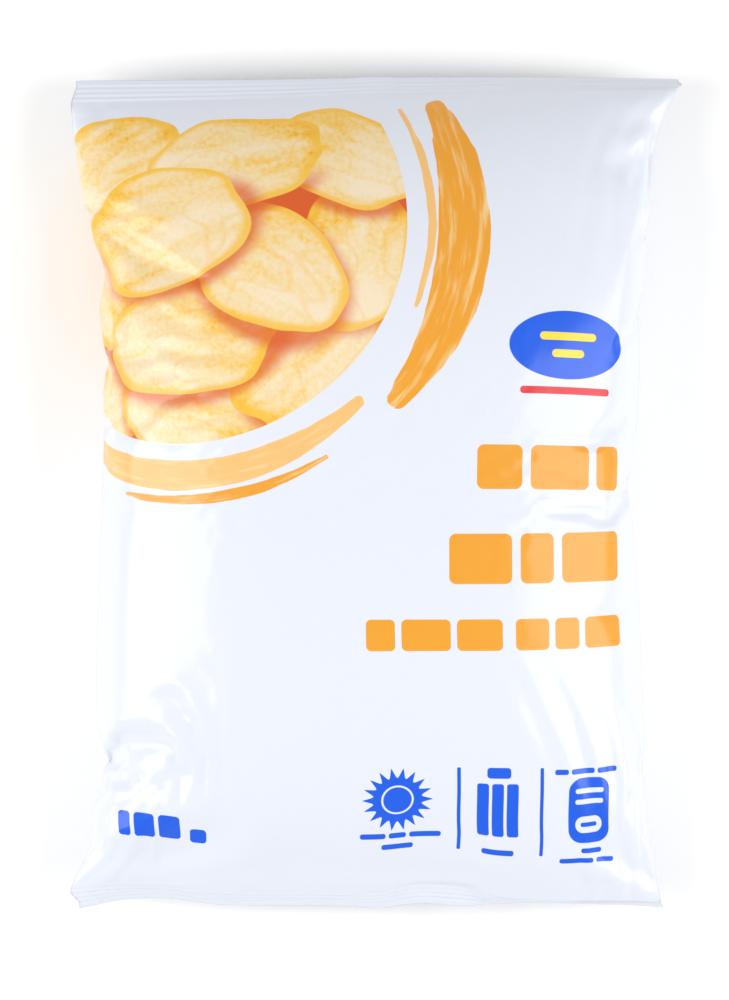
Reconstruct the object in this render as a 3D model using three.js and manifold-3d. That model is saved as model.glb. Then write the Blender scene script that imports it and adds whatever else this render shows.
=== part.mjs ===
// A sealed pillow bag of crisps that lies on its back on a table, in millimetres.
// +X runs across the printed front to the right, +Y runs towards the top seal and +Z points up.
// The origin is on the table, under the middle of the bag.
// The bag is one tube of film. Its two ends are pressed flat and crimped, the air inside swells the
// rest, and a flat fin seal runs down the middle of the back. It is shut, so it is solid here.
import * as THREE from "three";
import { mergeVertices } from "three/addons/utils/BufferGeometryUtils.js";
import Module from "manifold-3d";

// Driving dimensions
const BODY_HALF = 140; // from the middle of the bag to the inner line of either seal, at its middle
const SEAL_HEIGHT = 9.5; // pressed strip at each end, measured along the film
const SEAL_THICKNESS = 1.0; // two plies of film, held apart by the crimp
const BACK_DEPTH = 33; // how far the back swells below the plane of the seals
const FRONT_RISE = 36; // how far the front swells above it
const TABLE_PRESS = 4; // how much of the back's swell the table pushes flat
const TABLE_BLEND = 1.2; // half the height over which the flat patch rounds into the belly
const SEAL_DROOP = 9; // how far the seals hang below the middle of the sides
const DROOP_POWER = 3; // how late, towards a seal, the sides begin to hang
const WAVE_POWER = 8; // how soon a seal's waves die out into the body
const END_POWER = 2.7; // how square the swell is along the bag
const END_SHOULDER = 0.72; // how steeply it climbs from a seal
const END_BEND = 4; // how soon, towards a seal, the rows take up the bends of its line
const FRONT_SQUARE = 2.15; // superellipse powers of the two arches across the bag
const BACK_SQUARE = 2.7;
const LEAST_RISE = 0.01; // an arch as good as flat
const CRIMP = { start: 1.1, pitch: 2.03, ridges: 3, depth: 0.4 }; // ridges pressed along each seal
const FIN = { centre: -0.7, width: 12, proud: 0.9, sunk: 0.5, clearance: 0.05 }; // fin seal on the back
const FOLD_ONSET = 3; // folds reach full height where the swell is a third of its own
const FOLD_LIMIT = 0.6; // most of the swell that a valley may take away
const FOLD_LEAD = 0.25; // share of a fold's length over which it rises before its start
const FOLD_FADE = 0.8; // how evenly it sinks away from there to its end
const COLUMNS = 36; // faces across each panel
const BODY_ROWS = 48; // faces along the body
const ROW_CROWDING = 0.4; // how much the rows crowd towards the seals
const ARC_SAMPLES = 240; // steps used to measure an arch
const SAME_POINT = 1e-4; // points closer than this are one

// Where the sides of the bag run, as [y, x], from the bottom seal to the top seal
const LEFT_SIDE = [
  [-147, -104.6], [-141.5, -107.5], [-126, -101.8], [-110, -99.3], [-92.5, -94.6], [-79, -97.6],
  [-45, -97.9], [0, -96.2], [45, -95.8], [66, -95.6], [77, -93.6], [90, -99.6], [112, -104.2],
  [130, -106.4], [139, -107.5], [147, -105.8],
];
const RIGHT_SIDE = [
  [-147, 101.5], [-139, 100.0], [-125, 96.2], [-104, 93.2], [-60, 92.4], [-20, 90.7],
  [8, 89.7], [35, 91.2], [75, 94.4], [103, 95.8], [122, 97.4], [131, 100.6], [143, 107.5],
  [147, 106.6],
];

// The inner line of each seal as seen from above, as [x, y]
const SEAL_LINE = {
  top: [[-108, 137.1], [-40, 138.6], [0, 140.2], [50, 141.6], [108, 142.9]],
  bottom: [
    [-108, -137.8], [-87, -137.3], [-74, -137.6], [-60, -139.3], [-40, -139.6], [0, -139.4],
    [15, -136.8], [31, -137.6], [42, -141.5], [60, -143], [90, -143.5], [108, -144.5],
  ],
};
// How far below the level each seal strip points outwards, as [x, degrees]
const SEAL_TILT = {
  top: [[-108, 26], [-40, 38], [0, 46], [50, 55], [108, 68]],
  bottom: [
    [-108, 28], [-87, 56], [-40, 55], [0, 52], [15, 42], [31, 36], [42, 70], [60, 84], [108, 76],
  ],
};
// Waves of the seals up and down: height, length of a wave and where it crests
const SEAL_WAVES = {
  top: [{ height: 0.9, length: 170, crest: -20 }],
  bottom: [
    { height: 2.0, length: 128, crest: -92 },
    { height: 1.1, length: 62, crest: 12 },
  ],
};

// Folds in the front film: from the side or seal where each starts to where it fades away.
// A positive height is a ridge and a negative one is a valley.
const FRONT_FOLDS = [
  { from: [99, 112], to: [66, 119], height: -4.5, width: 12 },
  { from: [97, 96], to: [70, 104], height: 3.0, width: 12 },
  { from: [106, 141], to: [88, 125], height: 4.2, width: 7 },
  { from: [100, 127], to: [74, 130], height: -3.0, width: 8 },
  { from: [-107, 138], to: [-84, 118], height: -3.4, width: 8 },
  { from: [-97, 77], to: [-62, 82], height: -4.8, width: 11 },
  { from: [-98, 62], to: [-74, 58], height: 2.2, width: 12 },
  { from: [-96, -92], to: [-58, -70], height: -5.0, width: 11 },
  { from: [-97, -72], to: [-68, -52], height: 2.6, width: 13 },
  { from: [-96, -103], to: [-66, -110], height: 3.6, width: 9 },
  { from: [-88, -119], to: [-42, -100], height: 3.6, width: 9 },
  { from: [-80, -132], to: [-52, -116], height: -3.0, width: 9 },
  { from: [-66, -140], to: [-38, -121], height: 4.0, width: 10 },
  { from: [-26, -140], to: [-42, -119], height: -3.4, width: 9 },
  { from: [-8, -140], to: [-16, -124], height: 2.0, width: 12 },
  { from: [103, -143], to: [64, -123], height: 5.0, width: 7 },
  { from: [98, -134], to: [74, -112], height: -3.6, width: 9 },
  { from: [30, -140], to: [36, -124], height: 4.2, width: 10 },
  { from: [50, -142], to: [56, -128], height: -2.4, width: 10 },
  { from: [92, -44], to: [74, -38], height: -2.2, width: 10 },
  { from: [90, 20], to: [72, 28], height: -2.2, width: 10 },
];
// Folds in the back film, seen from above
const BACK_FOLDS = [
  { from: [-104, 132], to: [-70, 104], height: -3.2, width: 10 },
  { from: [103, 132], to: [66, 108], height: -3.2, width: 10 },
  { from: [-102, -130], to: [-68, -104], height: -3.0, width: 10 },
  { from: [99, -132], to: [64, -106], height: -3.4, width: 10 },
  { from: [-97, 40], to: [-72, 34], height: -2.2, width: 10 },
  { from: [-98, -34], to: [-70, -40], height: -2.0, width: 10 },
  { from: [92, 52], to: [68, 60], height: -2.0, width: 10 },
  { from: [91, -22], to: [68, -16], height: -2.2, width: 10 },
  { from: [-30, 139], to: [-24, 112], height: -2.0, width: 12 },
  { from: [38, 139], to: [30, 114], height: -2.0, width: 12 },
  { from: [-42, -139], to: [-34, -114], height: -2.0, width: 12 },
  { from: [26, -139], to: [22, -116], height: -2.0, width: 12 },
];

// A smooth value through [place, value] stations
function through(stations, place) {
  const last = stations.length - 1;
  let i = 0;
  while (i < last - 1 && place > stations[i + 1][0]) i += 1;
  const [x0, v0] = stations[i];
  const [x1, v1] = stations[i + 1];
  const slope = (k) => {
    const a = stations[Math.max(0, k - 1)];
    const b = stations[Math.min(last, k + 1)];
    return (b[1] - a[1]) / (b[0] - a[0]);
  };
  const span = x1 - x0;
  const t = THREE.MathUtils.clamp((place - x0) / span, 0, 1);
  const u = 1 - t;
  return (
    v0 * u * u * (1 + 2 * t) + v1 * t * t * (1 + 2 * u) +
    span * t * u * (slope(i) * u - slope(i + 1) * t)
  );
}

// An arch from side to side whose points are equally spaced along the film.
// Each entry holds the share of the half-width, the share of the rise and the outward direction.
function arch(halfWidth, rise, power) {
  const samples = [];
  let run = 0;
  for (let k = 0; k <= ARC_SAMPLES; k += 1) {
    const angle = Math.PI * (1 - k / ARC_SAMPLES);
    const across = Math.sign(Math.cos(angle)) * Math.abs(Math.cos(angle)) ** (2 / power);
    const up = Math.abs(Math.sin(angle)) ** (2 / power);
    if (k > 0) {
      const before = samples[k - 1];
      run += Math.hypot((across - before.across) * halfWidth, (up - before.up) * rise);
    }
    samples.push({ across, up, run });
  }
  const points = [];
  let k = 1;
  for (let column = 0; column <= COLUMNS; column += 1) {
    const target = (run * column) / COLUMNS;
    while (k < ARC_SAMPLES && samples[k].run < target) k += 1;
    const a = samples[k - 1];
    const b = samples[k];
    const share = (target - a.run) / (b.run - a.run || 1);
    const outward = new THREE.Vector2((a.up - b.up) * rise, (b.across - a.across) * halfWidth);
    points.push({
      across: THREE.MathUtils.lerp(a.across, b.across, share),
      up: THREE.MathUtils.lerp(a.up, b.up, share),
      outward: outward.normalize(),
    });
  }
  return points;
}

// How far a fold lifts the film at a place in plan
function foldHeight(fold, x, y) {
  const start = new THREE.Vector2(...fold.from);
  const run = new THREE.Vector2(...fold.to).sub(start);
  const offset = new THREE.Vector2(x, y).sub(start);
  const along = offset.dot(run) / run.lengthSq();
  const away = Math.abs(offset.cross(run)) / run.length();
  if (along < -FOLD_LEAD || along > 1 || away > fold.width) return 0;
  const fade = along < 0 ? 1 + along / FOLD_LEAD : (1 - along) ** FOLD_FADE;
  return fold.height * fade * (1 - away / fold.width);
}

// The level of the film's middle plane, which the seals lie in
function middleLevel(x, y) {
  const end = Math.min(1, Math.abs(y) / BODY_HALF);
  const waves = y > 0 ? SEAL_WAVES.top : SEAL_WAVES.bottom;
  let level = BACK_DEPTH - TABLE_PRESS - SEAL_DROOP * end ** DROOP_POWER;
  for (const wave of waves) {
    const phase = (2 * Math.PI * (x - wave.crest)) / wave.length;
    level += wave.height * Math.cos(phase) * end ** WAVE_POWER;
  }
  return level;
}

// Presses what would be below the table flat against it
function onTable(z) {
  if (z > TABLE_BLEND) return z;
  if (z < -TABLE_BLEND) return 0;
  return (z + TABLE_BLEND) ** 2 / (4 * TABLE_BLEND);
}

// Where a row lies at a place across the bag: straight in the middle, and along the seal's line at an end
function rowPlace(x, y) {
  const end = y > 0 ? "top" : "bottom";
  const bend = through(SEAL_LINE[end], x) - Math.sign(y) * BODY_HALF;
  return y + bend * (Math.abs(y) / BODY_HALF) ** END_BEND;
}

// How much of the full swell the bag has at a distance along it
function swell(y) {
  const end = Math.min(1, Math.abs(y) / BODY_HALF);
  return (1 - end ** END_POWER) ** END_SHOULDER;
}

// One row of the body: the points of the front from left to right, then of the back
function bodyRow(y) {
  const left = through(LEFT_SIDE, y);
  const right = through(RIGHT_SIDE, y);
  const centre = (left + right) / 2;
  const halfWidth = (right - left) / 2;
  const share = swell(y);
  const panel = (rise, power, folds, side) =>
    arch(halfWidth, Math.max(rise * share, LEAST_RISE), power).map((point) => {
      const x = centre + point.across * halfWidth;
      const bulge = rise * share * point.up + SEAL_THICKNESS / 2;
      let lift = 0;
      for (const fold of folds) lift += foldHeight(fold, x, y);
      lift = Math.max(lift * Math.min(1, FOLD_ONSET * share), -FOLD_LIMIT * bulge * (point.up > 0));
      const z = middleLevel(x, y) + side * (bulge + lift * point.outward.y);
      return new THREE.Vector3(x + lift * point.outward.x, rowPlace(x, y), onTable(z));
    });
  return {
    front: panel(FRONT_RISE, FRONT_SQUARE, FRONT_FOLDS, 1),
    back: panel(BACK_DEPTH, BACK_SQUARE, BACK_FOLDS, -1),
    down: new THREE.Vector3(0, 0, -1),
  };
}

// The angle, in radians, at which a seal strip points down at a place across the bag
function sealTilt(end, x) {
  return THREE.MathUtils.degToRad(through(SEAL_TILT[end], x));
}

// One row of a seal strip, a distance out from its inner line
function sealRow(end, out) {
  const toward = end === "top" ? 1 : -1;
  const y = toward * (BODY_HALF + out);
  const left = through(LEFT_SIDE, y);
  const right = through(RIGHT_SIDE, y);
  const crimped = (out - CRIMP.start) / CRIMP.pitch;
  const inCrimp = crimped > 0 && crimped < CRIMP.ridges;
  const ridge = inCrimp ? CRIMP.depth * Math.sin(2 * Math.PI * crimped) : 0;
  const panel = (side) => {
    const points = [];
    for (let column = 0; column <= COLUMNS; column += 1) {
      const share = column / COLUMNS;
      const x = THREE.MathUtils.lerp(left, right, share);
      const tilt = sealTilt(end, x);
      const lift = ridge + (side * SEAL_THICKNESS) / 2;
      points.push(new THREE.Vector3(
        x,
        through(SEAL_LINE[end], x) + toward * (out * Math.cos(tilt) + lift * Math.sin(tilt)),
        middleLevel(x, toward * BODY_HALF) - out * Math.sin(tilt) + lift * Math.cos(tilt),
      ));
    }
    return points;
  };
  const tilt = sealTilt(end, FIN.centre);
  const down = new THREE.Vector3(0, -toward * Math.sin(tilt), -Math.cos(tilt));
  return { front: panel(1), back: panel(-1), down };
}

// Distances out from the inner line of a seal: each crimp ridge and the hollow beside it, then the plain edge
function sealSteps() {
  const steps = [SEAL_THICKNESS];
  for (let k = 0; k < CRIMP.ridges; k += 1) {
    steps.push(CRIMP.start + CRIMP.pitch * (k + 0.25));
    steps.push(CRIMP.start + CRIMP.pitch * (k + 0.75));
  }
  return [...steps, SEAL_HEIGHT];
}

// All rows of the bag from the bottom edge to the top edge
function bagRows() {
  const steps = sealSteps();
  const rows = [...steps].reverse().map((out) => sealRow("bottom", out));
  for (let k = 0; k <= BODY_ROWS; k += 1) {
    const place = -1 + (2 * k) / BODY_ROWS;
    const crowded = THREE.MathUtils.lerp(place, Math.sin((Math.PI / 2) * place), ROW_CROWDING);
    rows.push(bodyRow(BODY_HALF * crowded));
  }
  return [...rows, ...steps.map((out) => sealRow("top", out))];
}

// A closed skin from rows that each have the front's and the back's points from left to right
function skin(rows) {
  const columns = rows[0].front.length;
  const ring = 2 * columns;
  const positions = [];
  for (const row of rows) {
    for (const point of [...row.front, ...row.back.slice().reverse()]) positions.push(...point);
  }
  const faces = [];
  const quad = (a, b, c, d) => faces.push(a, b, c, a, c, d);
  for (let r = 0; r < rows.length - 1; r += 1) {
    for (let k = 0; k < ring; k += 1) {
      const next = (k + 1) % ring;
      quad(r * ring + k, r * ring + next, (r + 1) * ring + next, (r + 1) * ring + k);
    }
  }
  const top = (rows.length - 1) * ring;
  for (let k = 0; k < columns - 1; k += 1) {
    quad(ring - 1 - k, ring - 2 - k, k + 1, k);
    quad(top + k, top + k + 1, top + ring - 2 - k, top + ring - 1 - k);
  }
  const geometry = new THREE.BufferGeometry();
  geometry.setAttribute("position", new THREE.Float32BufferAttribute(positions, 3));
  geometry.setIndex(faces);
  return geometry;
}

// The fin seal: a flat strip that follows the middle of the back, half sunk into the bag
function finRows(rows) {
  const places = [FIN.centre - FIN.width / 2, FIN.centre + FIN.width / 2];
  const levelAt = (points, x) => {
    const right = points.findIndex((point) => point.x > x);
    const a = points[right - 1];
    const b = points[right];
    return new THREE.Vector3().lerpVectors(a, b, (x - a.x) / (b.x - a.x));
  };
  return rows.map((row) => {
    const under = places.map((x) => levelAt(row.back, x));
    const offset = (distance) => under.map((point) => {
      const moved = point.clone().addScaledVector(row.down, distance);
      return moved.setZ(Math.max(moved.z, FIN.clearance));
    });
    return { front: offset(-FIN.sunk), back: offset(FIN.proud) };
  });
}

const wasm = await Module();
wasm.setup();

function toSolid(geometry) {
  const merged = mergeVertices(geometry, SAME_POINT);
  return new wasm.Manifold(new wasm.Mesh({
    numProp: 3,
    vertProperties: merged.attributes.position.array,
    triVerts: new Uint32Array(merged.index.array),
  }));
}

function toGeometry(solid) {
  const { numProp, vertProperties, triVerts } = solid.getMesh();
  const positions = new Float32Array((vertProperties.length / numProp) * 3);
  for (let v = 0; v * numProp < vertProperties.length; v += 1) {
    positions.set(vertProperties.subarray(v * numProp, v * numProp + 3), v * 3);
  }
  const geometry = new THREE.BufferGeometry();
  geometry.setAttribute("position", new THREE.BufferAttribute(positions, 3));
  geometry.setIndex(new THREE.BufferAttribute(triVerts, 1));
  geometry.computeVertexNormals();
  return geometry;
}

function crispBag() {
  const rows = bagRows();
  const finned = rows.slice(1, rows.length - 1);
  const solid = toSolid(skin(rows)).add(toSolid(skin(finRows(finned))));
  const film = new THREE.MeshStandardMaterial({ color: 0xeff2fa, roughness: 0.3, metalness: 0 });
  const mesh = new THREE.Mesh(toGeometry(solid), film);
  mesh.name = "crisp_bag";
  return mesh;
}

const bag = new THREE.Group();
bag.add(crispBag());
const box = new THREE.Box3().setFromObject(bag);
bag.position.set(-(box.min.x + box.max.x) / 2, -(box.min.y + box.max.y) / 2, -box.min.z);

export default bag;
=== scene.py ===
import math

import bpy
import numpy as np
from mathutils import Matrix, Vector


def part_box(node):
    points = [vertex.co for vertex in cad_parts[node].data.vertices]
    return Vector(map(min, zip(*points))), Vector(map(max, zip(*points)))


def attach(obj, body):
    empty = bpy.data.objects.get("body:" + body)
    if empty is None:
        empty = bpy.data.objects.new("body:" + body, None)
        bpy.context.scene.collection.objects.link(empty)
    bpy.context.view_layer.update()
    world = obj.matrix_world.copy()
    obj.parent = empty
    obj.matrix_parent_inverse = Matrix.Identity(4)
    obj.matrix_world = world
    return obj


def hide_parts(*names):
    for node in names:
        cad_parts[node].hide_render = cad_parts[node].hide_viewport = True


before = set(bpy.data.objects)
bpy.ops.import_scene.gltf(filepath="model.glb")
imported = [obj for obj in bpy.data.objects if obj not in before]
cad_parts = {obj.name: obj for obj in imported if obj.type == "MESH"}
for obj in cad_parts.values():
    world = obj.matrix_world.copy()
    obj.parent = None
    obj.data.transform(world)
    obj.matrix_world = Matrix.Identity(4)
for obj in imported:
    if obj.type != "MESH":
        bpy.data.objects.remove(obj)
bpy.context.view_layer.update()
BAG_LOW, BAG_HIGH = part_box("crisp_bag")

bl_info = {
    "name": "Bag of crisps",
    "version": (1, 0, 0),
    "blender": (4, 5, 0),
    "location": "View3D > Sidebar > Crisp bag",
    "description": "Swells a printed film tube into a sealed bag of crisps on a pale table",
    "category": "Object",
}

# The bag lies on its back: +X is its right, +Y its top seal and +Z the way its printed front faces.
# Blender works in metres. The shape tables below are in millimetres, as the bag was measured.
MM = 0.001
TINY = 1e-6
BAG_WIDTH = BAG_HIGH.x - BAG_LOW.x
BAG_LENGTH = BAG_HIGH.y - BAG_LOW.y

# How much longer the flat film is between its seals than the bag is over all
FILM_SLACK = 1.01

# Faces of the film: each panel's columns run across it, and the rows run from seal to seal
COLUMNS = 72
ROWS = 98
SEAL_ROWS = 26
ARC_SAMPLES = 400
PROFILE_SAMPLES = 801

# Level and section of the swollen body
BACK_DEPTH = 33
FRONT_RISE = 36
TABLE_PRESS = 4
TABLE_BLEND = 1.2
SEAL_DROOP = 9
DROOP_POWER = 3
WAVE_POWER = 8
END_POWER = 2.7
END_SHOULDER = 0.72
FRONT_SQUARE = 2.15
BACK_SQUARE = 2.7
LEAST_RISE = 0.01

# The bag's left and right edge, each station [y, x]
LEFT_SIDE = [
    [-147, -104.6], [-141.5, -107.5], [-126, -100.2], [-110, -98.6], [-92.5, -90.6], [-79, -97.0],
    [-45, -98.2], [0, -95.8], [45, -96.2], [66, -95.4], [77, -90.2], [90, -99.2], [112, -104.2],
    [130, -106.4], [139, -107.5], [147, -105.8],
]
RIGHT_SIDE = [
    [-147, 101.5], [-139, 100.0], [-125, 96.2], [-104, 93.2], [-60, 92.4], [-20, 90.7],
    [8, 89.7], [35, 91.2], [75, 94.4], [103, 95.8], [122, 97.4], [131, 100.6], [143, 107.5],
    [147, 106.6],
]

# The inner line of each end seal as seen from above, each station [x, y]
SEAL_LINE = {
    "top": [[-108, 137.1], [-40, 138.6], [0, 140.2], [50, 141.6], [108, 142.9]],
    "bottom": [
        [-108, -137.8], [-87, -137.3], [-74, -137.6], [-60, -139.3], [-40, -139.6], [0, -139.4],
        [15, -136.8], [31, -137.6], [42, -141.5], [60, -143], [90, -143.5], [108, -144.5],
    ],
}
# How far below the level each seal points outwards, each station [x, degrees]
SEAL_TILT = {
    "top": [[-108, 26], [-40, 38], [0, 46], [50, 55], [108, 68]],
    "bottom": [
        [-108, 28], [-87, 56], [-40, 55], [0, 52], [15, 42], [31, 36], [42, 70], [60, 84], [108, 76],
    ],
}
# Waves of the seals up and down: height, length of a wave and where it crests
SEAL_WAVES = {
    "top": [(0.9, 170, -20)],
    "bottom": [(2.0, 128, -92), (1.1, 62, 12)],
}
END_BEND = 4
# Over what stretch a side is evened out, and how fast the pull of its notches dies away from it
NOTCH_SPAN = (-28, -14, 0, 14, 28)
NOTCH_REACH = 4
# Where the film is held firmly: the middle of the bag, and the ends from here on
MIDDLE_REACH = 62
CORNER_FROM = 94
CORNER_BLEND = 18
# How the lengths of the film are kept in the swollen shape
SIDE_CROWDING = 3
RISE_SHARE = 0.85
# Thickness of a seal, and the uneven ridges pressed along it
FILM_THICKNESS = 0.5
CRIMP_START = 0.05
CRIMP_PITCH = 2.03
CRIMP_COUNT = 4
CRIMP_DEPTH = {"top": 0.12, "bottom": 0.16}
CRIMP_WAVER = {"top": 0.06, "bottom": 0.3}
# Lengths over which the ridges waver, long and short, and over which their depth changes
CRIMP_WAVERS = (13, 5.3)
CRIMP_SHORT_SHARE = 0.6
CRIMP_CHANGES = (17, 41)
CRIMP_UNEVENNESS = 0.5

# Creases that the swelling film folds into: where each starts at the edge, where it fades out,
# how far it stands above the film and half its width
FRONT_FOLDS = [
    ((97, 96), (70, 104), 2.0, 12), ((107, 142), (86, 133), 4.4, 7),
    ((99, 128), (80, 128), -2.8, 6), ((-107, 138), (-93, 125), 2.6, 7),
    ((-107, 139), (-84, 131), -2.8, 6), ((-98, 62), (-74, 58), 2.2, 12),
    ((-97, -72), (-68, -52), 2.6, 13), ((-96, -103), (-66, -110), 3.6, 9),
    ((-88, -119), (-42, -100), 3.6, 9), ((-80, -132), (-52, -116), -3.0, 9),
    ((-66, -140), (-38, -121), 4.0, 10), ((-26, -140), (-42, -119), -3.4, 9),
    ((-8, -140), (-16, -124), 2.0, 12), ((103, -143), (64, -123), 6.4, 6),
    ((96, -142), (70, -134), -2.4, 5), ((-50, -140), (-76, -136), -2.2, 3),
    ((98, -134), (74, -112), -3.6, 9), ((30, -140), (36, -124), 4.2, 10),
    ((50, -142), (56, -128), -2.4, 10), ((92, -44), (74, -38), -2.2, 10),
    ((90, 20), (72, 28), -2.2, 10),
]

# Dents of the front, flat facets that narrow to a point: the middle of the wide end, the point, how far
# the facet stands above the film and half its width. The wall is how steeply a facet's rim falls.
FRONT_DENTS = [
    ((98, 112), (71, 115), -4.6, 14), ((-98, 77), (-70, 81), -2.4, 12),
    ((-97, -93), (-62, -74), -3.8, 13),
]
DENT_WALL = 2.2
# How far before its start a crease has died out, as a share of its length; how it sinks towards its end;
# how soon creases set in from a seal; and how they die out at a side
FOLD_LEAD = 0.25
FOLD_FADE = 0.8
FOLD_ONSET = 3
FOLD_SIDE = 0.3

# Cloth settings of thin plastic film, apart from those in the panel
CLOTH = {
    "quality": 8, "mass": 0.05, "air_damping": 2.0, "tension_damping": 5, "compression_damping": 5,
    "shear_damping": 5, "use_pressure": True,
}

# The fin seal down the back
FIN_CENTRE = -0.7
FIN_WIDTH = 12
FIN_THICKNESS = 0.5
FIN_COLUMNS = 16
FIN_RIDGE_PITCH = 1.5
FIN_RIDGE_DEPTH = 0.12
FIN_ROWS_IN_SEAL = 6
FIN_GAP = 0.05
FIN_CLEARANCE = 0.02
# The room that the back leaves for it, and the step that it makes in the end seals
FIN_ROOM = 0.7
FIN_MARGIN = 3
FIN_STEP = 0.35
FIN_STEP_BLEND = 1.5

# The print. Places are millimetres on the flat film, from the middle of the front panel
PRINT_EDGE = 0.16
WINDOW_CENTRE = (-67, 97, 0)
WINDOW_RADIUS = 79.5
# Heights between which the picture's dark ground ends, and between which its shadows deepen
GROUND_TOP = (117, 118)
SHADOW_TOP = (119, 107)
# Each crisp: centre, half size, turn in degrees and how strongly it curls
CRISPS = [
    ((-124, 62), (30, 21), 70, 0.8), ((-98, 38), (30, 20), 25, -0.9), ((-60, 27), (30, 19), -15, 0.9),
    ((-22, 46), (28, 19), 42, -0.8), ((-126, 102), (29, 21), -60, 0.7), ((-6, 84), (28, 20), 78, 1.0),
    ((-98, 76), (28, 21), -48, 0.9), ((-64, 56), (33, 22), 12, 0.8), ((-8, 121), (27, 19), -28, -0.9),
    ((-96, 119), (31, 20), 28, 0.9), ((-37, 80), (31, 22), -38, -0.8), ((-46, 121), (30, 19), 8, 0.9),
    ((-74, 95), (33, 22), 18, -0.7),
]
# How a crisp is painted: its outline's waves, its shadow, and ramps of (from, to, low, high)
CRISP_WOBBLE = 0.34
CRISP_EDGE = (1.0, 0.985)
CRISP_SHADOW = (1.2, 0.94, 0.0, 0.8)
SHADOW_SHIFT = (-0.05, 0.09, 0)
CRISP_BROWNING = (0.72, 1.0, 0.0, 0.2)
CRISP_RIM = (0.86, 0.95, 0.0, 0.85)
CRISP_CREASE = (0.035, 0.0, 0.0, 0.3)
CRISP_STOPS = [(0.10, "pale"), (0.42, "straw"), (0.75, "gold"), (1.0, "rust")]
# The middle of a crisp's tone, and how far each thing shifts it
TONE_MIDDLE = 0.36
TONE_SADDLE = 0.26
TONE_FOLDS = 1.0
TONE_BLISTERS = 0.9
# How a crisp's saddle leans, how its folds are stretched and how far apart the crisps' patterns are
SADDLE_LEAN = 0.45
FOLDS_STRETCH = (1.0, 2.2, 1.0)
VARIANT_STEP = 1.7
# Each arc: radius, half width, middle and half of its angle in degrees, colour
ARCS = [
    (99.5, 9.2, -7, 33, "orange"), (88.0, 1.5, 4, 25, "apricot"),
    (90.5, 5.4, -88, 42, "apricot"), (99.2, 1.8, -80, 22, "orange"),
]
# How a band is brushed: how much narrower its ends are, how far its edge frays and how fine its streaks are
BRUSH_TAPER = 0.62
BRUSH_FRAY = 2.4
BRUSH_STRETCH = 9
BRUSH_STREAKS = (0.48, 0.72, 0.0, 0.8)
# The oval badge, and the round flower with its thin ring
BADGE_CENTRE = (69, 52.5)
BADGE_HALF = (21.5, 12.0)
ROSETTE_CENTRE = (9, -108.5)
ROSETTE_INNER = 8.6
ROSETTE_OUTER = 12.4
ROSETTE_PETALS = 18
ROSETTE_RING = 5.3
ROSETTE_LINE = 0.35
# Each printed region of the front has a material of its own, and this is where the regions lie
REGIONS = ("plain", "picture", "title", "signs")
PICTURE_REACH = 112
TITLE_BETWEEN = (-60, 67.5)
TITLE_RIGHT_OF = -6
SIGNS_BELOW = -90
# Rows of blocks: right end, middle and height, the blocks' widths, gap, corner and colour
TITLE_ROWS = [
    ((91.5, 9.5, 15.5), [16, 22, 10], 3, 2.4, "orange"),
    ((91.0, -22.5, 17.5), [22, 12, 23], 3, 2.4, "orange"),
    ((91.5, -49, 11), [12, 9, 15], 2.2, 1.8, "orange"),
    ((46.5, -49, 11), [10, 17, 16], 2.2, 1.8, "orange"),
    ((86, 36.5, 2.6), [34], 1, 1.2, "red"),
    ((79.5, 55.5, 2.8), [21], 1, 1.4, "yellow"),
    ((75.0, 49.5, 2.8), [12], 1, 1.4, "yellow"),
]
SIGN_ROWS = [
    ((-68, -121.5, 9.5), [5, 8, 8], 1.6, 1.4, "blue"),
    ((-58.5, -124, 5.5), [6], 1, 1.4, "blue"),
    ((31, -112.7, 33), [1.3], 1, 0.5, "blue"),
    ((60.6, -112.7, 33), [1.3], 1, 0.5, "blue"),
    ((48.8, -98, 4), [8.5], 1, 1.2, "blue"),
    ((51.5, -112, 20), [4.2, 4.2, 4.2], 1.1, 1.0, "blue"),
    ((86, -112.7, 24), [16], 1, 5.0, "blue"),
    ((83.5, -105.5, 1.8), [11], 1, 0.8, "white"),
    ((83.5, -109.5, 1.8), [11], 1, 0.8, "white"),
    ((83.2, -118, 6), [10.5], 1, 2.9, "white"),
    ((81.2, -118, 1.6), [6.5], 1, 0.7, "blue"),
    ((24, -122.8, 2.2), [9, 6, 11], 1.1, 0.9, "blue"),
    ((14.5, -127.4, 2.2), [11], 1, 0.9, "blue"),
    ((50, -128.3, 2.2), [11.5], 1, 0.9, "blue"),
    ((89, -98.2, 2.0), [5, 9, 8], 1.1, 0.8, "blue"),
    ((83, -127.6, 1.8), [8], 1, 0.8, "blue"),
    ((88, -131.2, 1.8), [13, 7], 1.1, 0.8, "blue"),
]
# Printed colours, as they look on screen
PRINT_COLOURS = {
    "white": (222, 226, 236), "orange": (232, 157, 38), "apricot": (238, 188, 116),
    "yellow": (248, 216, 60), "pale": (238, 220, 188), "straw": (238, 210, 152), "gold": (240, 188, 56),
    "rust": (222, 136, 40), "shade": (214, 88, 24), "blue": (0, 88, 222), "red": (220, 26, 34),
}

# Noises of the print, the film and the table: fineness, detail, roughness and distortion
NOISES = {
    "bristles": (0.045, 3.0, 0.55, 0.0),
    "crisp outline": (1.5, 0.0, 0.5, 0.0),
    "crisp folds": (1.7, 1.0, 0.45, 0.0),
    "blisters": (0.55, 3.0, 0.62, 0.0),
    "cloudy film": (0.035, 3.0, 0.5, 0.0),
    "crinkled film": (0.09, 2.5, 0.5, 0.4),
    "cloudy table": (9.0, 4.0, 0.5, 0.0),
}
CRINKLE_STRETCH = (1.0, 0.45, 1.0)

# Gloss of the film
ROUGHNESS_REACH = 0.12
COAT_IOR = 1.6
SPECULAR_LEVEL = 0.25

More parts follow.
